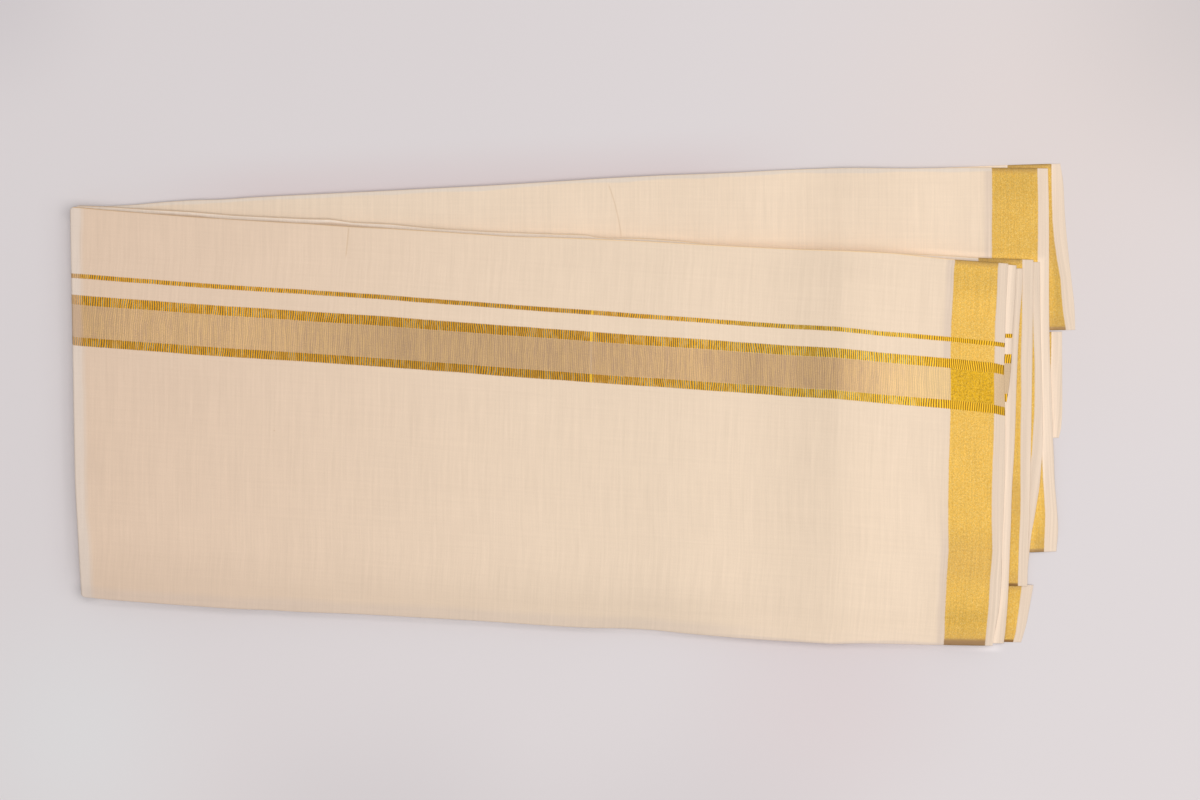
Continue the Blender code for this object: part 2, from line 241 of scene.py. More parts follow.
FRONT_TURNS = (
    Turn(at=-304.0, lean=0.00, change=-0.062, round=12.0),
    Turn(at=-158.0, lean=0.03, change=0.022, round=3.0),
    Turn(at=11.0, lean=0.07, change=-0.030, round=4.0),
    Turn(at=99.0, lean=0.03, change=0.074, round=7.0),
    Turn(at=178.0, lean=0.03, change=-0.096, round=5.0),
    Turn(at=250.0, lean=0.00, change=0.040, round=20.0))
FRONT_SLOPE = 0.055   # the slope before the first turn

BACK_TURNS = (
    Turn(at=14.0, lean=0.07, change=-0.024, round=8.0),
    Turn(at=146.0, lean=0.03, change=0.114, round=7.0),
    Turn(at=176.5, lean=0.03, change=-0.118, round=0.8),
    Turn(at=240.0, lean=0.00, change=0.030, round=14.0))
BACK_SLOPE = 0.008
PINCH = 26.0          # how far in from a fold the swelling is held down


# ---- curves and outlines -----------------------------------------------------------------
def smooth(share):
    """0 to 1, easing out of 0 and into 1."""
    held = np.clip(share, 0.0, 1.0)
    return held * held * (3.0 - 2.0 * held)


def along(points, share):
    """The point at a share of the way along a smooth curve through the points."""
    lengths = [math.dist(a, b) for a, b in zip(points, points[1:])]
    wanted = share * sum(lengths)
    span = 0
    while span < len(lengths) - 1 and wanted > lengths[span]:
        wanted -= lengths[span]
        span += 1
    start, end = points[span], points[span + 1]
    before = points[span - 1] if span else start
    after = points[span + 2] if span + 2 < len(points) else end
    t = wanted / lengths[span]
    pull_in = lengths[span] / max(math.dist(before, end), 1e-9)
    pull_out = lengths[span] / max(math.dist(start, after), 1e-9)
    place = []
    for k in (0, 1):
        leaving = (end[k] - before[k]) * pull_in
        arriving = (after[k] - start[k]) * pull_out
        place.append((2 * t**3 - 3 * t**2 + 1) * start[k] + (t**3 - 2 * t**2 + t) * leaving
                     + (3 * t**2 - 2 * t**3) * end[k] + (t**3 - t**2) * arriving)
    return tuple(place)


def edges(stretch):
    """The stretch's bottom, right, top and left edges, each with its corners."""
    return ((stretch.low_left, *stretch.below, stretch.low_right),
            (stretch.low_right, *stretch.right, stretch.high_right),
            (stretch.high_left, *stretch.above, stretch.high_right),
            (stretch.low_left, *stretch.left, stretch.high_left))


def patch(stretch, columns, rows):
    """x and y over the whole stretch, a row for each share of its depth."""
    below, right, above, left = edges(stretch)
    u = np.array(columns)[None, :]
    v = np.array(rows)[:, None]
    low = np.array([along(below, share) for share in columns])[None, :, :]
    high = np.array([along(above, share) for share in columns])[None, :, :]
    near = np.array([along(left, share) for share in rows])[:, None, :]
    far = np.array([along(right, share) for share in rows])[:, None, :]
    u, v = u[:, :, None], v[:, :, None]
    across = (1 - v) * low + v * high + (1 - u) * near + u * far
    corners = ((1 - u) * ((1 - v) * np.array(stretch.low_left) + v * np.array(stretch.high_left))
               + u * ((1 - v) * np.array(stretch.low_right) + v * np.array(stretch.high_right)))
    place = across - corners
    return place[:, :, 0], place[:, :, 1]


def crossing(points, value, along_axis):
    """Where a line through the points crosses x = value (axis 0) or y = value (axis 1)."""
    known = np.array(points)
    return np.interp(value, known[:, along_axis], known[:, 1 - along_axis])


def set_in(stretch, set_back, right_end):
    """The outline of a hidden layer: the stretch, smaller all round and cut off at right_end."""
    below, _, above, _ = edges(stretch)
    low_end = float(crossing(below, right_end, 0)) + set_back
    high_end = float(crossing(above, right_end, 0)) - set_back
    inner_below = [(x, y + set_back) for x, y in stretch.below if x < right_end - 20.0]
    inner_above = [(x, y - set_back) for x, y in stretch.above if x < right_end - 20.0]
    inner_left = [(x + set_back, y) for x, y in stretch.left]
    return stretch._replace(
        low_left=(stretch.low_left[0] + set_back, stretch.low_left[1] + set_back),
        low_right=(right_end, low_end), high_right=(right_end, high_end),
        high_left=(stretch.high_left[0] + set_back, stretch.high_left[1] - set_back),
        below=tuple(inner_below), right=(), above=tuple(inner_above), left=tuple(inner_left))


BACK_LAYER_OUTLINES = [set_in(BACK_TOP, *layer) for layer in BACK_LAYERS]
FRONT_LAYER_OUTLINES = [set_in(FRONT_UNDER, *layer) for layer in FRONT_LAYERS]


# ---- how high each stretch lies ----------------------------------------------------------
def cover(stretch, x, y, settle_x=SETTLE_X):
    """1 over the stretch, falling to 0 past its edges as what lies on it sinks beside it."""
    below, right, above, left = edges(stretch)
    past_low = (crossing(below, x, 0) - y) / SETTLE_Y
    past_high = (y - crossing(above, x, 0)) / SETTLE_Y
    past_right = (x - crossing(right, y, 1)) / settle_x
    past_left = (crossing(left, y, 1) - x) / SETTLE_X
    share = 1.0
    for past in (past_low, past_high, past_right, past_left):
        share = share * (1.0 - smooth(past))
    return share


def thinned(stretch, x, y):
    """How much lower a leaf's upper side lies near its selvedge."""
    from_right = crossing(edges(stretch)[1], y, 1) - x
    return (WALL * (1.0 - TAPER_TO) + SINK) * (1.0 - smooth(from_right / TAPER))


def lift(stretch, x, y):
    """How much a stretch raises what lies on it."""
    return (PITCH - thinned(stretch, x, y)) * cover(stretch, x, y)


def core_height(outlines, x, y, settle_x=SETTLE_X):
    """The height of a core's layers and of the air on them."""
    height = GAP * cover(outlines[0], x, y, settle_x)
    for outline in outlines:
        height = height + LAYER * cover(outline, x, y, settle_x)
    return height


def inside(stretch, x, y):
    """0 on the stretch's folds, rising to 1 further in."""
    below, right, above, left = edges(stretch)
    low = smooth((y - crossing(below, x, 0)) / PINCH)
    high = smooth((crossing(above, x, 0) - y) / PINCH)
    return low * high


def swell(turns, slope, x, y):
    """How far the cloth stands up along x, from its first slope and the turns that follow."""
    height = slope * (x - LEFT_END)
    for turn in turns:
        from_turn = x - turn.at - turn.lean * y
        rounded = np.sqrt(from_turn**2 + turn.round**2)
        height = height + turn.change * (from_turn + rounded) / 2
    return height


def packet_swell(turns, slope, stretch, at_folds):
    """A packet's swelling, of which only a share is left at its folds."""
    def height(x, y):
        full = np.maximum(swell(turns, slope, x, y), 0.0)
        return full * (at_folds + (1.0 - at_folds) * inside(stretch, x, y))
    return height


back_swell = packet_swell(BACK_TURNS, BACK_SLOPE, BACK_TOP, 0.35)
front_swell = packet_swell(FRONT_TURNS, FRONT_SLOPE, FRONT_TOP, 0.3)


def under_back_top(x, y):
    tails = np.maximum(lift(TAIL_UPPER, x, y), lift(TAIL_LOWER, x, y))
    return np.maximum(core_height(BACK_LAYER_OUTLINES, x, y), tails)


def lying_on(stretch, under_it):
    """How high something lies on a stretch, from how high the stretch itself lies."""
    return lambda x, y: under_it(x, y) + lift(stretch, x, y)


def under_front_core(x, y):
    pair = lift(MIDDLE_LOWER, x, y) + lift(MIDDLE_UPPER, x, y)
    return under_middle(x, y) + np.maximum(pair, lift(FOOT, x, y))


def under_front_under(x, y):
    return under_front_core(x, y) + core_height(FRONT_LAYER_OUTLINES, x, y, FRONT_SETTLE_X)


under_middle = lying_on(BACK_TOP, under_back_top)
under_middle_upper = lying_on(MIDDLE_LOWER, under_middle)
under_front_lower = lying_on(FRONT_UNDER, under_front_under)
under_front_top = lying_on(FRONT_TOP_LOWER, under_front_lower)


def on_the_surface(x, y):
    return 0.0 * x


def raised(rest, back_share, front_share):
    """What a stretch rests on, with its share of the back's and of the front's swelling."""
    def height(x, y):
        return (rest(x, y) + back_share * back_swell(x, y) * cover(BACK_TOP, x, y)
                + front_share * front_swell(x, y))
    return height


# ---- walls of cloth ----------------------------------------------------------------------
def spaced(length, step, close):
    """Shares of a length, a step apart, or nearer together by each (place, reach, step)."""
    places = [0.0]
    while places[-1] < length:
        here = places[-1]
        wanted = step
        for place, reach, fine in close:
            wanted = min(wanted, fine + (step - fine) * min(abs(here - place) / reach, 1.0))
        places.append(here + wanted)
    return [place / places[-1] for place in places]


def fold_rows(depth, step):
    return spaced(depth, step, ((0.0, 9.0, 0.16), (depth, 9.0, 0.16)))


def stretch_columns(length, step, fold_step, creases=()):
    ends = ((0.0, 12.0, fold_step), (length, 16.0, 0.16))
    return spaced(length, step, ends + tuple(creases))


def nose(distance, reach):
    """How much of a wall's half thickness is left near its rounded edge."""
    return np.sqrt(1.0 - (1.0 - np.clip(distance / reach, 0.0, 1.0))**2)


def cloth_map(stretch, x, y, end):
    """How far each point is from the selvedge, and from the end line."""
    from_selvedge = MARGIN + crossing(stretch.border, y, 1) - x
    if stretch.line:
        from_line = (crossing(stretch.line, x, 0) - y) * stretch.drawn_out
    else:
        from_line = end - y
    return np.stack((from_selvedge, from_line), axis=-1) * MM


def fold_map(from_low, from_high):
    """How far each point is from the long folds below and above it."""
    return np.stack((np.maximum(from_low, 0.0), np.maximum(from_high, 0.0)), axis=-1) * MM


def bared(stretch, x, y):
    """How far each point of a stretch is from what lies on it."""
    away = np.full_like(x, NO_END)
    for over in LYING_ON.get(stretch, ()):
        below, right, above, _ = edges(over)
        past = np.maximum(crossing(below, x, 0) - y, y - crossing(above, x, 0))
        away = np.minimum(away, np.maximum(past, x - crossing(right, y, 1)))
    return away


def leaf(stretch, rest, columns, rows, room, thickness, end, left_nose):
    """A leaf's middle surface, half thickness and maps, as grids with a row for each share."""
    x, y = patch(stretch, columns, rows)
    below, right, above, _ = edges(stretch)
    from_low = y - crossing(below, x, 0)
    from_high = crossing(above, x, 0) - y
    from_right = crossing(right, y, 1) - x
    from_left = np.array(columns)[None, :] * (x[:, -1:] - x[:, :1])
    near_edge = 1.0 - smooth(from_right / TAPER)
    taper = 1.0 - (1.0 - TAPER_TO) * near_edge
    to_corner = np.clip(1.0 - np.minimum(from_low, from_high) / CORNER, 0.0, 1.0)
    rounding = CORNER * (1.0 - np.sqrt(1.0 - to_corner**2))
    rounding = rounding * (1.0 - smooth(from_left / CORNER_REACH))
    x = x + room * (1 - np.array(columns)[None, :]) + rounding
    half = thickness / 2 * taper
    middle = np.maximum(rest(x, y) + half - SINK * near_edge, half)
    half = half * np.minimum(nose(from_low, FOLD_NOSE), nose(from_high, FOLD_NOSE))
    half = half * nose(from_right, SELVEDGE_NOSE)
    if left_nose:
        half = half * nose(from_left, FOLD_NOSE)
        half[:, 0] = 0.0
    half[0, :] = 0.0
    half[-1, :] = 0.0
    half[:, -1] = 0.0
    centre = np.stack((x, y, middle), axis=-1)
    side_map = np.stack((from_left, bared(stretch, x, y)), axis=-1) * MM
    return centre, half, cloth_map(stretch, x, y, end), fold_map(from_low, from_high), side_map


def wall(centre, out, half, cloth, folds, sides):
    """A closed wall of cloth: the centre grid moved out and in, sharing the points of its rim."""
    rows, columns = half.shape
    rim = np.zeros((rows, columns), bool)
    rim[0, :] = rim[-1, :] = rim[:, 0] = rim[:, -1] = True
    outer = np.arange(rows * columns).reshape(rows, columns)
    inner = outer.copy()
    inner[~rim] = rows * columns + np.arange(int((~rim).sum()))
    moved = out * half[:, :, None]
    points = np.concatenate(((centre + moved).reshape(-1, 3), (centre - moved)[~rim])) * MM

    def quads(index):
        return np.stack((index[:-1, :-1], index[:-1, 1:], index[1:, 1:], index[1:, :-1]),
                        axis=-1).reshape(-1, 4)

    faces = np.concatenate((quads(outer), quads(inner)[:, ::-1]))
    maps = {"cloth": cloth, "folds": folds, "sides": sides}
    values = {key: np.concatenate((grid.reshape(-1, 2), grid[~rim])) for key, grid in maps.items()}
    return points, faces, values


def make_piece(name, walls):
    """One object from one or more walls, each given as points, faces and maps."""
    start = 0
    points, faces = [], []
    for wall_points, wall_faces, _ in walls:
        points.append(wall_points)
        faces.append(wall_faces + start)
        start += len(wall_points)
    points, faces = np.concatenate(points), np.concatenate(faces)
    mesh = bpy.data.meshes.new(name)
    mesh.from_pydata(points.tolist(), [], faces.tolist())
    corners = faces.reshape(-1)
    for key in ("cloth", "folds", "sides"):
        values = np.concatenate([maps[key] for _, _, maps in walls])
        layer = mesh.uv_layers.new(name=key)
        layer.data.foreach_set("uv", values[corners].astype(np.float32).reshape(-1))
    mesh.shade_smooth()
    mesh.update()
    piece = bpy.data.objects.new(name, mesh)
    bpy.context.scene.collection.objects.link(piece)
    return piece


def up_from(centre):
    out = np.zeros_like(centre)
    out[:, :, 2] = 1.0
    return out


def single_leaf(stretch, rest, columns, rows, thickness=WALL, end=NO_END):
    centre, half, *maps = leaf(stretch, rest, columns, rows, 0.0, thickness, end, True)
    return wall(centre, up_from(centre), half, *maps)


def turned_leaves(upper, lower, rest, upper_rest, upper_columns, lower_columns, rows, end):
    """Two leaves in one wall, the upper one on the lower, joined by the fold on the left."""
    turn = PITCH / 2
    room = turn + WALL / 2
    low = leaf(lower, rest, lower_columns, rows, room, WALL, end, False)
    high = leaf(upper, upper_rest, upper_columns, rows, room, WALL, end, False)
    low = [grid[:, ::-1] for grid in low]
    start, finish = low[0][:, -1], high[0][:, 0]
    radius = (finish[:, 2] - start[:, 2]) / 2
    parts = [[low[0], -up_from(low[0]), *low[1:]]]
    for step in range(1, TURN_STEPS):
        share = step / TURN_STEPS
        angle = math.pi * share
        bend = start * (1 - share) + finish * share
        bend[:, 0] -= radius * math.sin(angle)
        bend[:, 2] = start[:, 2] + radius * (1 - math.cos(angle))
        out = np.zeros_like(bend)
        out[:, 0] = -math.sin(angle)
        out[:, 2] = -math.cos(angle)
        rest_of_it = [(a[:, -1] * (1 - share) + b[:, 0] * share)[:, None]
                      for a, b in zip(low[1:], high[1:])]
        parts.append([bend[:, None], out[:, None], *rest_of_it])
    parts.append([high[0], up_from(high[0]), *high[1:]])
    return wall(*(np.concatenate(grids, axis=1) for grids in zip(*parts)))


def core_leaves(outlines, rest, columns, rows, end):
    walls = []
    for number, outline in enumerate(outlines):
        def height(x, y, higher=number * LAYER):
            return rest(x, y) + higher
        walls.append(single_leaf(outline, height, columns, rows, LAYER * 0.9, end + number))
    return walls


def sheets():
    """Each piece's stretches: its solid's name, its walls, its look, its cut, what it lies on."""
    length, depth = HALF_WIDTH / MM, DEPTH / MM
    front_creases = [(turn.at - LEFT_END, 14.0, 1.2) for turn in FRONT_TURNS[1:5]]
    back_creases = [(turn.at - LEFT_END, 12.0, 0.8) for turn in BACK_TURNS[:3]]
    top_columns = stretch_columns(length, FINE, 0.5, front_creases)
    back_columns = stretch_columns(length, FINE, 0.5, back_creases)
    under_columns = stretch_columns(length, COARSE, 0.8, [(MIDDLE_CREASE - LEFT_END, 14.0, 1.8)])
    hidden_columns = stretch_columns(length, 2 * COARSE, 0.3)
    short_columns = stretch_columns(150.0, 2.4, 0.3)
    rows = fold_rows(depth, FINE)
    hidden_rows = fold_rows(depth, COARSE)

    yield "back_core", core_leaves(
        BACK_LAYER_OUTLINES, on_the_surface, hidden_columns, hidden_rows, 7 * NO_END), (
        "back", (1.34, 0.243), ["floor"])
    yield "tail_leaf_lower", [single_leaf(
        TAIL_LOWER, on_the_surface, short_columns, fold_rows(72.0, FINE), end=9 * NO_END)], (
        "tail", (0.143, 0.0705), ["floor"])
    yield "tail_leaf_upper", [single_leaf(
        TAIL_UPPER, on_the_surface, short_columns, fold_rows(110.0, FINE), end=8 * NO_END)], (
        "tail", (0.148, 0.109), ["floor"])
    yield "back_panel", [single_leaf(
        BACK_TOP, raised(under_back_top, 1.0, 0.0), back_columns, rows, end=6 * NO_END)], (
        "back", (0.65, 0.2555),
        ["cloth_back_core", "cloth_tail_leaf_upper", "cloth_tail_leaf_lower"])
    yield "middle_panel", [turned_leaves(
        MIDDLE_UPPER, MIDDLE_LOWER, raised(under_middle, 1.0, 0.12),
        raised(under_middle_upper, 1.0, 0.3), under_columns, under_columns, rows, 4 * NO_END)], (
        "middle", (1.27, 0.222), ["cloth_back_panel"])
    yield "foot_flap", [single_leaf(
        FOOT, raised(under_middle, 1.0, 0.0), under_columns, fold_rows(37.0, FINE),
        end=5 * NO_END)], (
        "middle", (0.63, 0.0355), ["cloth_back_panel"])
    yield "front_core", core_leaves(
        FRONT_LAYER_OUTLINES, raised(under_front_core, 1.0, 0.5), hidden_columns, hidden_rows,
        3 * NO_END), (
        "middle", (1.83, 0.2535), ["cloth_middle_panel", "cloth_foot_flap"])
    yield "front_under_leaf", [single_leaf(
        FRONT_UNDER, raised(under_front_under, 1.0, 0.75), under_columns, rows, end=2 * NO_END)], (
        "front", (0.62, 0.2585), ["cloth_front_core"])
    yield "front_panel", [turned_leaves(
        FRONT_TOP, FRONT_TOP_LOWER, raised(under_front_lower, 1.0, 0.9),
        raised(under_front_top, 1.0, 1.0), top_columns, under_columns, rows, 0.0)], (
        "front", (2 * HALF_WIDTH, DEPTH), ["cloth_front_under_leaf"])


def build_cloth(looks):
    """Every sheet's piece, in the material of its look."""
    for node, walls, (look, flat, rests_on) in sheets():
        piece = make_piece("cloth_" + node, walls)
        piece.data.materials.append(looks[look])
        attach(piece, "root")
        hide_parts(node)
        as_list(rests_on)


# ---- node helpers ------------------------------------------------------------------------
class Graph:
    """Short calls for the nodes of one material."""

    def __init__(self, name):
        self.material = bpy.data.materials.new(name)
        self.material.use_nodes = True
        self.tree = self.material.node_tree
        self.shader = self.tree.nodes["Principled BSDF"]

    def put(self, socket, value):
        if isinstance(value, bpy.types.NodeSocket):
            self.tree.links.new(value, socket)
        elif isinstance(value, tuple) and len(value) == 3 and socket.type == "RGBA":
            socket.default_value = (*value, 1.0)
        else:
            socket.default_value = value

    def node(self, kind, **settings):
        made = self.tree.nodes.new(kind)
        for key, value in settings.items():
            setattr(made, key, value)
        return made

    def math(self, operation, *values, clamp=False):
        made = self.node("ShaderNodeMath", operation=operation, use_clamp=clamp)
        for socket, value in zip(made.inputs, values):
            self.put(socket, value)
        return made.outputs[0]

    def times(self, *values):
        return reduce(lambda first, second: self.math("MULTIPLY", first, second), values)

    def most(self, *values):
        return reduce(lambda first, second: self.math("MAXIMUM", first, second), values)

    def plus(self, first, second):
        return self.math("ADD", first, second)

    def minus(self, first, second):
        return self.math("SUBTRACT", first, second)

    def affine(self, value, factor, more):
        return self.math("MULTIPLY_ADD", value, factor, more)

    def apart(self, first, second):
        return self.math("ABSOLUTE", self.minus(first, second))

    def ramp(self, value, low, high, to_low=0.0, to_high=1.0):
        """Eases from to_low to to_high as the value goes from low to high."""
        made = self.node("ShaderNodeMapRange", interpolation_type="SMOOTHSTEP")
        for name, given in (("Value", value), ("From Min", low), ("From Max", high),
                            ("To Min", to_low), ("To Max", to_high)):
            self.put(made.inputs[name], given)
        return made.outputs["Result"]

    def between(self, value, low, high, soft):
        """1 from low to high, with soft edges."""
        return self.times(self.ramp(value, low - soft, low + soft),
                          self.ramp(value, high - soft, high + soft, 1.0, 0.0))

    def mix(self, share, first, second, kind="MIX"):
        made = self.node("ShaderNodeMix", data_type="RGBA", blend_type=kind)
        self.put(made.inputs[0], share)
        self.put(made.inputs[6], first)
        self.put(made.inputs[7], second)
        return made.outputs[2]

    def place(self, x, y, z=0.0):
        made = self.node("ShaderNodeCombineXYZ")
        for socket, value in zip(made.inputs, (x, y, z)):
            self.put(socket, value)
        return made.outputs[0]

    def noise(self, place, scale=1.0, detail=2.0, roughness=0.5):
        made = self.node("ShaderNodeTexNoise")
        self.put(made.inputs["Vector"], place)
        self.put(made.inputs["Scale"], scale)
        self.put(made.inputs["Detail"], detail)
        self.put(made.inputs["Roughness"], roughness)
        return made.outputs[0]

    def map(self, name):
        """The two coordinates of a named map, in millimetres."""
        split = self.node("ShaderNodeSeparateXYZ")
        self.put(split.inputs[0], self.node("ShaderNodeUVMap", uv_map=name).outputs[0])
        return [self.times(split.outputs[k], 1.0 / MM) for k in (0, 1)]

    def shade(self, colour, amount):
        """The colour, lighter or darker by a factor."""
        factor = self.place(amount, amount, amount)
        return self.mix(1.0, colour, factor, "MULTIPLY")


# ---- the cloth ---------------------------------------------------------------------------
# A packet's own look: how bright its gold, its cotton and its margins are painted, for the light
# and shade on that packet; how wide its gold band is; how much its cotton is painted lighter or
# darker along its upper fold, and what colour there; how strong that fold's painted light is; how
# much painted shade browns its gold at its lower fold, and for how far in; how much painted light
# brightens it beside the stretches on it; its cotton's colour near the width fold, darkened there
# with painted shade; how much painted shade greys it along its lower fold; and which brown that
# painted shade on its gold turns to.
# painted shade: the cotton near the width fold, darker and pinker where less light reaches it
FAR_FRONT_SHADED = (0.734, 0.554, 0.420)
FAR_BACK_SHADED = (0.745, 0.600, 0.465)
GOLD_SHADE_SOFT = (0.290, 0.170, 0.078)    # painted shade on gold at a fold
# the same painted shade, deeper
GOLD_SHADE_DEEP = (0.230, 0.110, 0.026)
Look = namedtuple("Look", "gold cotton margin band high_strip strip fold_line low_gold "
                  "low_reach glow far low_strip brown", defaults=(FAR_FRONT_SHADED, 0.3, GOLD_SHADE_SOFT))
LOOKS = {
    "front": Look(gold=0.832, cotton=1.0, margin=0.975, band=29.1, high_strip=0.0,
                  strip=(0.930, 0.790, 0.645), fold_line=0.95, low_gold=0.95, low_reach=6.0,
                  glow=0.22),
    "middle": Look(gold=0.790, cotton=1.0, margin=0.998, band=29.4, high_strip=0.90,
                   strip=(0.890, 0.765, 0.650), fold_line=0.75, low_gold=0.97, low_reach=2.6,
                   glow=0.0, brown=GOLD_SHADE_DEEP),
    "back": Look(gold=0.765, cotton=1.02, margin=1.035, band=30.6, high_strip=0.85,
                 strip=(0.720, 0.620, 0.530), fold_line=0.30, low_gold=0.66, low_reach=3.4,
                 glow=0.15, far=FAR_BACK_SHADED),
    "tail": Look(gold=0.685, cotton=1.03, margin=1.04, band=29.4, high_strip=0.5,
                 strip=(0.790, 0.645, 0.510), fold_line=0.20, low_gold=0.70, low_reach=3.6,
                 glow=0.20)}

CREAM = (0.812, 0.648, 0.494)         # near the selvedges
CREAM_MARGIN = (0.750, 0.603, 0.476)
CREAM_STRIP = (0.722, 0.578, 0.460)   # beside the gold
# painted highlight on the tissue at a pressing line
CREAM_HIGHLIGHT = (0.790, 0.645, 0.510)
CREAM_LEFT = (0.737, 0.624, 0.542)    # at the width fold
CREAM_SHADE = (0.600, 0.500, 0.450)   # painted shade over the edge of a lower fold
FOLD_LINE = (0.560, 0.370, 0.210)
FOLD_LIT = (0.940, 0.680, 0.390)      # painted light along a fold, where its groove is shaded
FOLD_DARK = (0.630, 0.415, 0.225)     # the same painted light towards the width fold, dimmer there
GOLD = (0.800, 0.495, 0.090)
GOLD_DEEP = (0.480, 0.230, 0.040)
GOLD_WARM = (0.800, 0.420, 0.050)
# painted glints on the gold thread
GOLD_GLINT = (1.000, 0.880, 0.460)
RIB_BRIGHT = (0.860, 0.390, 0.004)
RIB_YELLOW = (0.825, 0.465, 0.021)    # towards the selvedge
RIB_DARK = (0.135, 0.118, 0.060)
RIB_BROWN = (0.155, 0.073, 0.005)     # the same towards the selvedge
RIB_BLUE = (0.200, 0.240, 0.180)
# painted highlight on the metal at a pressing line
RIB_SHINE = (0.950, 0.600, 0.040)
TISSUE_GOLD = (0.640, 0.410, 0.185)
TISSUE_TAUPE = (0.460, 0.295, 0.175)
TISSUE_MARGIN = (0.570, 0.410, 0.255)
TISSUE_LEFT = (0.560, 0.400, 0.290)   # at the width fold
TISSUE_PALE = (0.790, 0.630, 0.300)   # towards the selvedge
CROSSING = (0.595, 0.331, 0.004)
CROSSING_DEEP = (0.330, 0.160, 0.004)
# painted glints where the stripes cross the border
CROSSING_GLINT = (1.000, 0.800, 0.220)

# How bright the metal thread of the end stripes is painted, by its distance from the selvedge:
# a painted reflection of the light along them.
Tone = namedtuple("Tone", "from_selvedge level")
STRIPE_REFLECTIONS = (
    Tone(0.0, 1.00), Tone(45.0, 1.06), Tone(68.0, 1.14), Tone(84.0, 1.06), Tone(103.0, 0.93),
    Tone(126.0, 0.78), Tone(140.0, 0.84), Tone(166.0, 0.80), Tone(180.0, 0.90),
    Tone(205.0, 0.96), Tone(243.0, 0.90), Tone(272.0, 0.83), Tone(300.0, 0.81),
    Tone(403.0, 0.82), Tone(460.0, 0.92), Tone(500.0, 1.00), Tone(620.0, 1.00))
TONE_RANGE = 650.0
TONE_TOP = 1.25

# End stripes, mm below the first line's middle.
LINE_ONE = (-1.5, 1.5)
LINE_TWO = (12.65, 19.15)
TISSUE = (19.15, 40.4)
LINE_THREE = (40.4, 46.25)
RIB = 1.45            # one rib of an end line
WEAVE = 0.46          # one thread of the plain cloth
SPOT_SPACING = 34.0   # from one slub to the next

# Thin lines that run up or down the cloth from a point: a loose hair, and the painted shade of a
# short crease.
Mark = namedtuple("Mark", "u v lean bend length level")
MARKS = (Mark(285.2, 5887.3, 0.12, 0.0036, -34.0, 0.30),
         Mark(438.9, -44.9, 0.094, 0.0, 19.0, 0.38))

# Painted light and shade: broad bands of the pressed cotton painted lighter or darker where its
# swells would catch more or less light, by distance from the selvedge.
Sheen = namedtuple("Sheen", "from_selvedge reach more")
LIGHT_AND_SHADE_BANDS = (Sheen(187.0, 48.0, 0.012), Sheen(132.0, 48.0, -0.026), Sheen(74.0, 41.6, 0.028),
          Sheen(238.0, 73.6, -0.028))

# The material's noises: how fine they are across the warp and across the weft, for each mm.
Noise = namedtuple("Noise", "u_scale v_scale seed detail roughness", defaults=(3.0, 0.65))
NOISES = {
    "grain": Noise(0.85, 0.65, 1.0, 3.0, 0.75),       # of the metal thread
    "fine_grain": Noise(1.9, 1.3, 8.0, 2.0, 0.6),
    "broad_grain": Noise(0.12, 0.09, 8.5),
    "hue": Noise(2.3, 1.7, 8.7, 1.0, 0.5),            # warmer grains of gold, and painted glints
    "fleck": Noise(1.5, 0.09, 5.5, 2.0, 0.6),         # gold in the tissue
    "thread": Noise(0.95, 0.018, 2.0, 2.0, 0.6),
    "warp": Noise(0.55, 0.020, 3.0),
    "weft": Noise(0.018, 0.55, 4.0),
    "speck": Noise(1.3, 1.0, 9.0, 2.0, 0.6),
    "cloud": Noise(0.035, 0.035, 6.0, 3.0, 0.5),
    "drift": Noise(0.02, 0.02, 5.0, 2.0, 0.5),        # how far the threads wander
    "margin_lines": Noise(0.8, 0.008, 7.0, 2.0, 0.7),
    "rib_tone": Noise(0.45, 0.12, 3.5, 2.0, 0.6),
    "rib_lean": Noise(0.03, 0.03, 4.5, 2.0, 0.5)}


def stripe_reflection(g, from_selvedge):
    """The painted reflection of the end stripes: their brightness along their length."""
    made = g.node("ShaderNodeValToRGB")
    g.put(made.inputs[0], g.math("DIVIDE", from_selvedge, TONE_RANGE))
    elements = made.color_ramp.elements
    while len(elements) < len(STRIPE_REFLECTIONS):
        elements.new(0.5)
    for element, painted_reflection in zip(elements, STRIPE_REFLECTIONS):
        element.position = painted_reflection.from_selvedge / TONE_RANGE
    for element, painted_reflection in zip(elements, STRIPE_REFLECTIONS):
        grey = painted_reflection.level / TONE_TOP
        element.color = (grey, grey, grey, 1.0)
    return g.times(made.outputs[0], TONE_TOP)


def spread(g, value, amount):
    """1, more or less, as a noise value is above or below one half."""
    return g.affine(g.minus(value, 0.5), amount, 1.0)


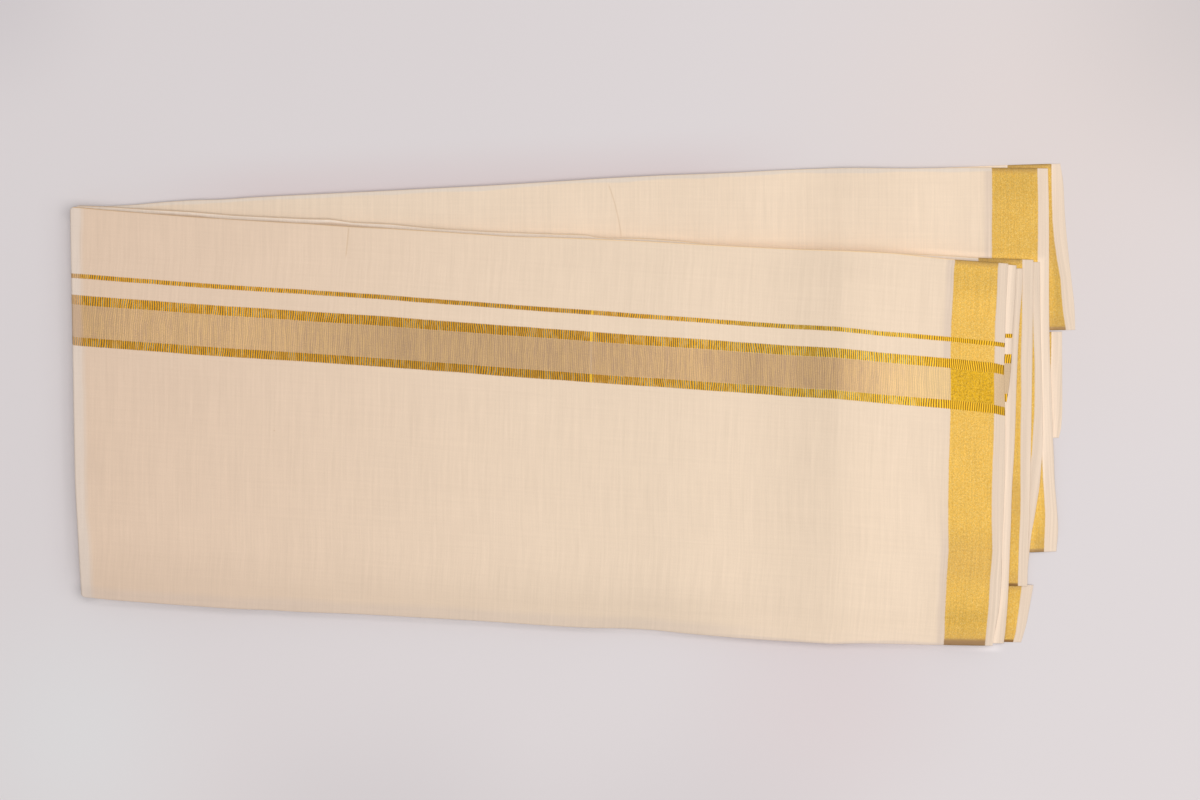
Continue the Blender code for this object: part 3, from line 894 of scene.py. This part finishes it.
def cloth_material(name, look):
    """The cloth. Distances are in mm: u from the selvedge, v from the first end line."""
    g = Graph(name)
    u, v = g.map("cloth")
    from_low, from_high = g.map("folds")
    from_left, bare = g.map("sides")
    on_top = g.ramp(bare, NO_END / 3, NO_END / 2)
    n = SimpleNamespace(**{
        key: g.noise(g.place(g.times(u, noise.u_scale), g.times(v, noise.v_scale), noise.seed),
                     1.0, noise.detail, noise.roughness)
        for key, noise in NOISES.items()})

    # threads are never quite straight, and the end lines sag in the margin
    ragged = g.times(g.minus(n.grain, 0.5), 0.9)
    wander = g.affine(g.minus(n.drift, 0.5), 1.2, ragged)
    u_drawn = g.plus(u, wander)
    v_drawn = g.plus(v, wander)
    sag = g.times(g.ramp(u, 0.0, 8.0, 0.75, 0.0), g.ramp(v, 2.0, 12.0, 0.3, 1.0), on_top)
    v_lines = g.minus(v_drawn, sag)

    # where each part of the pattern is
    margin = g.ramp(u_drawn, MARGIN - 0.3, MARGIN + 0.3, 1.0, 0.0)
    band_end = g.plus(g.ramp(from_low, 3.0, 22.0, -1.2, 0.0), MARGIN + look.band)
    past_band = g.minus(u_drawn, band_end)
    inner = g.ramp(past_band, -0.3, 0.3)
    band = g.times(g.minus(1.0, margin), g.minus(1.0, inner))
    patchy = g.ramp(g.apart(v, 75.0), 25.0, 70.0, 0.15, 0.95)
    pale = g.times(patchy, g.ramp(past_band, 3.4, PALE_STRIP, 1.0, 0.0))
    line_one = g.between(v_lines, *LINE_ONE, 0.3)
    line_two = g.between(v_lines, *LINE_TWO, 0.35)
    line_three = g.between(v_lines, *LINE_THREE, 0.35)
    lines = g.math("ADD", g.plus(line_one, line_two), line_three, clamp=True)
    tissue = g.between(v_lines, *TISSUE, 0.3)

    # cream cotton with fine streaks along both threads; painted shade makes it darker and pinker
    # towards the width fold and darker near the lower fold, and broad bands of it are painted
    # lighter or darker where the pressed cloth swells
    level = g.times(spread(g, n.warp, 0.20), spread(g, n.weft, 0.08),
                    spread(g, n.cloud, 0.05), spread(g, n.speck, 0.05))
    # painted light and shade in broad bands across the cotton
    for sheen in LIGHT_AND_SHADE_BANDS:
        away = g.apart(u, sheen.from_selvedge)
        level = g.plus(level, g.ramp(away, 0.0, sheen.reach, sheen.more, 0.0))
    # painted shade: darker towards the lower fold, away from the selvedge; each packet's cotton is
    # also painted brighter or darker for its light
    low_painted_shade = g.times(g.ramp(from_low, 7.0, 50.0, -0.07, 0.0), g.ramp(u, 150.0, 205.0))
    level = g.times(level, g.affine(low_painted_shade, look.cotton, look.cotton))
    # painted shade: darker and pinker towards the width fold
    cream = g.shade(g.mix(g.ramp(u, 200.0, 640.0), CREAM, look.far), level)

    # slubs: a few thick brown spots
    spots = g.node("ShaderNodeTexVoronoi", feature="F1")
    g.put(spots.inputs["Vector"], g.place(u, v))
    g.put(spots.inputs["Scale"], 1.0 / SPOT_SPACING)
    spot = g.ramp(spots.outputs["Distance"], 0.3 / SPOT_SPACING, 0.8 / SPOT_SPACING, 0.5, 0.0)
    cream = g.mix(spot, cream, FOLD_LINE)

    # the loosely woven margin: a line for each group of threads
    margin_level = g.times(spread(g, n.margin_lines, 0.40), spread(g, n.fine_grain, 0.16))
    margin_level = g.affine(g.between(u_drawn, 0.5, 2.6, 0.5), 0.025, margin_level)
    pale_cloth = g.shade(g.shade(CREAM_STRIP, level), spread(g, n.margin_lines, 0.30))
    colour = g.mix(pale, cream, pale_cloth)
    margin_cloth = g.shade(CREAM_MARGIN, g.times(margin_level, look.margin))
    colour = g.mix(margin, colour, margin_cloth)

    # paler where only a few layers lie at the width fold, with a line where they end; along the
    # long
    # folds, painted light and shade: strips painted lighter or darker below the upper fold, a
    # painted light line on that fold, and painted shade along the lower fold
    uneven = g.times(g.minus(n.drift, 0.5), 5.0)
    left_drawn = g.plus(from_left, uneven)
    low_drawn = g.plus(from_low, uneven)
    left_pale = g.ramp(left_drawn, 3.7, 9.2, 0.85, 0.0)
    left_line = g.times(g.between(left_drawn, 5.9, 6.5, 0.4), 0.10)
    # painted light and shade along the upper fold, a painted light line on it, and painted shade
    # along the lower fold
    high_painted_tone = g.ramp(g.plus(from_high, uneven), 2.0, 3.4, look.high_strip, 0.0)
    high_fold_light = g.ramp(from_high, 0.2, 0.8, look.fold_line, 0.0)
    low_shade = g.most(
        g.times(g.ramp(low_drawn, 4.5, 10.5, look.low_strip, 0.0),
                g.ramp(u, 140.0, 205.0, 0.15, 1.0)),
        g.times(g.ramp(low_drawn, 0.8, 2.8, 1.0, 0.0), g.ramp(u, 140.0, 210.0, 0.50, 0.30)))
    fold_colour = g.mix(g.ramp(u, 200.0, 520.0), FOLD_LIT, FOLD_DARK)
    for share, tint in ((left_pale, g.shade(CREAM_LEFT, level)),
                        (high_painted_tone, g.shade(look.strip, level)),
                        (low_shade, g.shade(CREAM_SHADE, level)),
                        (left_line, FOLD_LINE),
                        (high_fold_light, fold_colour)):
        colour = g.mix(g.times(share, inner), colour, tint)

    # gold side border, with painted shade that browns it where it turns under at its folds and in
    # a band above its lower fold
    gold_level = g.times(spread(g, n.grain, 0.45), spread(g, n.thread, 0.42),
                         spread(g, n.fine_grain, 0.48), spread(g, n.broad_grain, 0.16))
    # each packet's gold is painted brighter or darker for the light on that packet
    band_level = g.times(gold_level, look.gold)
    mingled = g.affine(n.grain, 0.5, g.times(n.fine_grain, 0.5))
    gold = g.mix(g.ramp(mingled, 0.30, 0.60, 0.50, 0.0), GOLD, GOLD_DEEP)
    gold = g.mix(g.ramp(n.hue, 0.30, 0.52, 0.80, 0.0), g.shade(gold, band_level),
                 g.shade(GOLD_WARM, band_level))
    # painted glints on the gold
    painted_glints = g.ramp(n.hue, 0.50, 0.72, 0.0, 0.22)
    gold = g.mix(painted_glints, gold, GOLD_GLINT)
    # painted shade on the gold at its folds, and in a band above the lower fold
    gold_low_shade = g.times(
        g.ramp(from_low, look.low_reach * 0.3, look.low_reach, look.low_gold, 0.0),
        g.ramp(from_low, 0.6, 1.8, 0.85, 1.0))
    gold_fold_shade = g.most(gold_low_shade, g.ramp(from_low, 5.0, 14.0, 0.18, 0.0),
                     g.ramp(from_high, 0.6, 5.0, 0.45, 0.0),
                     g.times(g.between(from_low, 42.0, 72.0, 12.0), 0.19))
    gold = g.mix(gold_fold_shade, gold, GOLD_SHADE_SOFT)
    gold = g.mix(gold_low_shade, gold, look.brown)
    colour = g.mix(band, colour, gold)
    # painted light beside the stretches that lie on it, where their shade falls
    if look.glow:
        glow = g.times(g.ramp(bare, 0.5, 5.5, look.glow, 0.0),
                       g.ramp(u, 160.0, 420.0, 1.0, 0.0))
        colour = g.shade(colour, g.plus(glow, 1.0))

    # the ribbed end lines, painted brighter or darker along their length for how their metal
    # reflects the light, and brighter on stretches that lie beneath others
    painted_reflection = stripe_reflection(g, u)
    rib_wave = g.math("SINE", g.times(g.affine(n.rib_lean, 7.0, u), 2 * math.pi / RIB))
    rib_height = g.affine(rib_wave, 0.42, 0.5)
    rib_dark = g.mix(g.ramp(n.rib_tone, 0.47, 0.58), RIB_DARK, RIB_BLUE)
    rib_dark = g.mix(g.ramp(u, 34.0, 75.0, 1.0, 0.0), rib_dark, RIB_BROWN)
    rib_bright = g.mix(g.ramp(u, 90.0, 280.0, 1.0, 0.0), RIB_BRIGHT, RIB_YELLOW)
    farther = g.times(g.ramp(u, 110.0, 200.0), g.ramp(v, -5.0, 42.0, -0.030, -0.14))
    nearer = g.affine(g.between(u, 95.0, 195.0, 14.0), 0.055, 0.955)
    beneath = g.affine(on_top, -0.25, 1.25)
    rib_level = g.times(painted_reflection, spread(g, n.rib_tone, 0.5), g.plus(farther, nearer), beneath)
    rib = g.shade(g.mix(g.ramp(rib_height, 0.18, 0.68), rib_dark, rib_bright), rib_level)
    at_left = g.ramp(left_drawn, 3.7, 7.2, 1.0, 0.0)
    rib = g.mix(g.times(at_left, 0.45), rib, TISSUE_LEFT)

    # the tissue between them, thin gold on taupe, with the same painted reflection along its
    # length and painted shade between 170 and 262 mm from the selvedge
    mingled = g.affine(n.fleck, 0.5, g.times(n.fine_grain, 0.5))
    shaded = g.affine(g.between(u, 170.0, 262.0, 12.0), -0.06, 1.0)
    tissue_level = g.times(painted_reflection, g.affine(rib_wave, 0.11, 1.0), spread(g, n.thread, 0.40),
                           spread(g, n.weft, 0.10), shaded)
    thin = g.mix(g.ramp(mingled, 0.33, 0.65), TISSUE_TAUPE, TISSUE_GOLD)
    thin = g.mix(g.times(at_left, 0.75), g.shade(thin, tissue_level), TISSUE_LEFT)
    thin = g.mix(g.ramp(u, MARGIN + look.band, 115.0, 0.30, 0.0), thin, TISSUE_PALE)

    # where the stripes cross the border and the margin
    mottle = g.ramp(n.grain, 0.36, 0.52, 0.78, 0.0)
    crossed = g.shade(g.mix(mottle, CROSSING, CROSSING_DEEP), gold_level)
    crossed = g.mix(painted_glints, crossed, CROSSING_GLINT)
    thin = g.mix(band, thin, crossed)
    loose = g.shade(TISSUE_MARGIN, g.times(margin_level, spread(g, n.fine_grain, 0.5)))
    colour = g.mix(tissue, colour, g.mix(margin, thin, loose))
    rib = g.mix(band, rib, g.mix(0.12, rib, crossed))
    rib = g.mix(g.times(margin, 0.10), rib, g.shade(RIB_BROWN, margin_level))
    colour = g.mix(lines, colour, rib)

    # an old pressing line across the end stripes: a painted highlight where its metal catches the
    # light, with a painted shade line beside it
    end_part = g.between(v, LINE_ONE[0] - 2.0, LINE_THREE[1] + 2.0, 1.0)
    pressed = g.times(g.between(u, 273.9, 275.3, 0.4), end_part)
    colour = g.mix(g.times(pressed, lines, 0.55), colour, RIB_SHINE)
    colour = g.mix(g.times(pressed, tissue, 0.12), colour, CREAM_HIGHLIGHT)
    # painted shade line beside the pressing line
    beside = g.times(g.between(u, 272.4, 273.3, 0.4), tissue, 0.25)
    colour = g.mix(beside, colour, TISSUE_TAUPE)

    # a loose hair on the back packet, and painted shade along a short crease on the front one
    for mark in MARKS:
        run = g.minus(v, mark.v) if mark.length > 0 else g.minus(mark.v, v)
        line_at = g.affine(run, g.affine(run, mark.bend, mark.lean), mark.u)
        near = g.ramp(g.apart(u, line_at), 0.2, 0.7, mark.level, 0.0)
        shown = g.times(near, g.between(run, 0.0, abs(mark.length), 2.0))
        colour = g.mix(shown, colour, FOLD_LINE)

    # metal thread shines, cotton doesn't
    metal = g.most(g.times(band, 0.36), g.affine(lines, 0.50, g.times(tissue, 0.30)))
    is_metal = g.math("GREATER_THAN", metal, 0.15)
    rough_metal = g.affine(g.minus(n.speck, 0.5), 0.25, 0.46)
    rough_plain = g.affine(n.warp, 0.1, 0.82)
    roughness = g.plus(g.times(is_metal, rough_metal),
                       g.times(g.minus(1.0, is_metal), rough_plain))

    # relief: the weave, slubs, and the ribs of the end lines
    cycle = 2 * math.pi / WEAVE
    over = g.math("SINE", g.times(g.affine(n.warp, 0.3, u_drawn), cycle))
    under = g.math("SINE", g.times(g.affine(n.weft, 0.3, v_drawn), cycle))
    relief = g.affine(g.times(over, under), 0.020, g.times(g.plus(n.warp, n.weft), 0.10))
    relief = g.affine(g.times(lines, rib_height), 0.12, relief)
    relief = g.affine(g.times(band, n.grain), 0.12, relief)
    relief = g.affine(spot, 0.15, relief)
    bump = g.node("ShaderNodeBump")
    g.put(bump.inputs["Height"], g.times(relief, MM))
    bump.inputs["Distance"].default_value = 1.0
    bump.inputs["Strength"].default_value = 0.8

    shader = g.shader
    g.put(shader.inputs["Base Color"], colour)
    g.put(shader.inputs["Metallic"], metal)
    g.put(shader.inputs["Roughness"], roughness)
    g.put(shader.inputs["Normal"], bump.outputs[0])
    shader.inputs["Sheen Weight"].default_value = 0.07
    shader.inputs["Sheen Roughness"].default_value = 0.5
    shader.inputs["Sheen Tint"].default_value = (1.0, 0.93, 0.85, 1.0)
    shader.inputs["Specular IOR Level"].default_value = 0.2
    return g.material


# ---- the room ----------------------------------------------------------------------------
FLOOR = (0.690, 0.645, 0.655)
CAMERA_AT = (0.018, 0.00333, 1.897)
LENS = 85.0
SENSOR = 36.0
FLOOR_HALF = 3.0

# name, power, size, azimuth, elevation, distance and colour: azimuth 0 is on the right, and
# 90 beyond the top of the picture
LIGHTS = (("overhead", 75.0, 3.2, -4.0, 78.0, 3.0, (1.0, 0.985, 0.97)),
          ("side", 37.0, 3.0, -12.0, 42.0, 5.0, (1.0, 0.985, 0.965)))

# Painted light and shade on the floor: where the sheet is painted a little lighter, darker,
# warmer or cooler; metres, and how much so.
Tint = namedtuple("Tint", "x y reach colour")
FLOOR_PAINTED_LIGHT = (Tint(0.32, 0.17, 0.26, (1.030, 0.990, 0.955)),
         Tint(0.17, -0.19, 0.13, (0.985, 0.945, 0.945)),
         Tint(-0.34, -0.22, 0.13, (1.020, 1.065, 1.065)),
         Tint(-0.40, 0.285, 0.11, (0.91, 0.91, 0.92)),
         Tint(0.47, 0.30, 0.21, (0.85, 0.85, 0.85)),
         Tint(-0.13, -0.33, 0.17, (0.905, 0.905, 0.91)),
         Tint(0.08, -0.34, 0.17, (0.91, 0.905, 0.91)))

# Painted light and shadow on the floor beside the folds: lighter beside the left fold (axis 0)
# and below the lower one (axis 1), where their shadows fall, and a painted shadow, darker and
# pinker, above the top fold. Where the fold is, how it leans, how far the tone reaches (less than
# zero: the cloth is on the lower side), from where to where, and how softly, in metres, and the
# colour.
Beside = namedtuple("Beside", "axis edge lean reach span soft colour")
FLOOR_LIGHT_AND_SHADOW = (Beside(0, -0.3322, 0.0265, 0.011, (-0.122, 0.126), 0.006, (1.24, 1.24, 1.24)),
                Beside(1, -0.1478, 0.0545, 0.0035, (-0.320, 0.285), 0.006, (1.17, 1.17, 1.17)),
                Beside(1, 0.1495, -0.0498, -0.036, (-0.255, 0.120), 0.060, (0.96, 0.905, 0.90)))
UNDER_CLOTH = 0.012      # how far in beneath the cloth it ends, metres


def floor_material():
    """A pale sheet with faint clouds, and the painted light and shade above."""
    g = Graph("pale_sheet")
    place = g.node("ShaderNodeTexCoord").outputs["Object"]
    cloud = g.noise(place, 2.2, 3.0)
    level = g.plus(g.times(g.minus(cloud, 0.5), 0.05), 1.0)
    colour = g.shade(FLOOR, level)
    # painted light and shade on the floor
    for tint in FLOOR_PAINTED_LIGHT:
        away = g.node("ShaderNodeVectorMath", operation="DISTANCE")
        g.put(away.inputs[0], place)
        g.put(away.inputs[1], (tint.x, tint.y, 0.0))
        share = g.ramp(away.outputs["Value"], 0.0, tint.reach, 1.0, 0.0)
        colour = g.mix(share, colour, g.mix(1.0, colour, tint.colour, "MULTIPLY"))
    split = g.node("ShaderNodeSeparateXYZ")
    g.put(split.inputs[0], place)
    # painted light and shadow beside the folds
    for beside in FLOOR_LIGHT_AND_SHADOW:
        across, along_it = split.outputs[beside.axis], split.outputs[1 - beside.axis]
        past = g.affine(along_it, beside.lean, across)
        inward = math.copysign(UNDER_CLOTH, beside.reach)
        near = g.ramp(past, beside.edge - beside.reach, beside.edge)
        inside = g.ramp(past, beside.edge + inward, beside.edge + 2 * inward, 1.0, 0.0)
        near = g.times(near, inside, g.between(along_it, *beside.span, beside.soft))
        colour = g.mix(near, colour, g.mix(1.0, colour, beside.colour, "MULTIPLY"))
    g.put(g.shader.inputs["Base Color"], colour)
    g.shader.inputs["Roughness"].default_value = 0.9
    g.shader.inputs["Specular IOR Level"].default_value = 0.1
    return g.material


def add_floor():
    half = FLOOR_HALF
    mesh = bpy.data.meshes.new("floor")
    mesh.from_pydata([(-half, -half, 0), (half, -half, 0), (half, half, 0), (-half, half, 0)],
                     [], [(0, 1, 2, 3)])
    mesh.materials.append(floor_material())
    floor = bpy.data.objects.new("floor", mesh)
    bpy.context.scene.collection.objects.link(floor)


def add_camera():
    data = bpy.data.cameras.new("camera")
    data.lens = LENS
    data.sensor_width = SENSOR
    camera = bpy.data.objects.new("camera", data)
    camera.location = CAMERA_AT
    bpy.context.scene.collection.objects.link(camera)
    bpy.context.scene.camera = camera


def add_light(name, power, size, azimuth, elevation, distance, colour):
    """A square soft light that points at the cloth."""
    data = bpy.data.lights.new(name, "AREA")
    data.energy = power
    data.size = size
    data.color = colour
    light = bpy.data.objects.new(name, data)
    around, up = math.radians(azimuth), math.radians(elevation)
    light.location = (distance * math.cos(up) * math.cos(around),
                      distance * math.cos(up) * math.sin(around),
                      distance * math.sin(up))
    light.rotation_mode = "QUATERNION"
    light.rotation_quaternion = light.location.to_track_quat("Z", "Y")
    bpy.context.scene.collection.objects.link(light)


def add_lights():
    for light in LIGHTS:
        add_light(*light)
    world = bpy.data.worlds.new("soft room")
    world.use_nodes = True
    background = world.node_tree.nodes["Background"]
    background.inputs["Color"].default_value = (0.97, 0.985, 1.0, 1.0)
    background.inputs["Strength"].default_value = 0.36
    bpy.context.scene.world = world
    bpy.context.scene.view_settings.view_transform = "Standard"


add_camera()
add_lights()
add_floor()
build_cloth({name: cloth_material("dhoti_" + name, look) for name, look in LOOKS.items()})
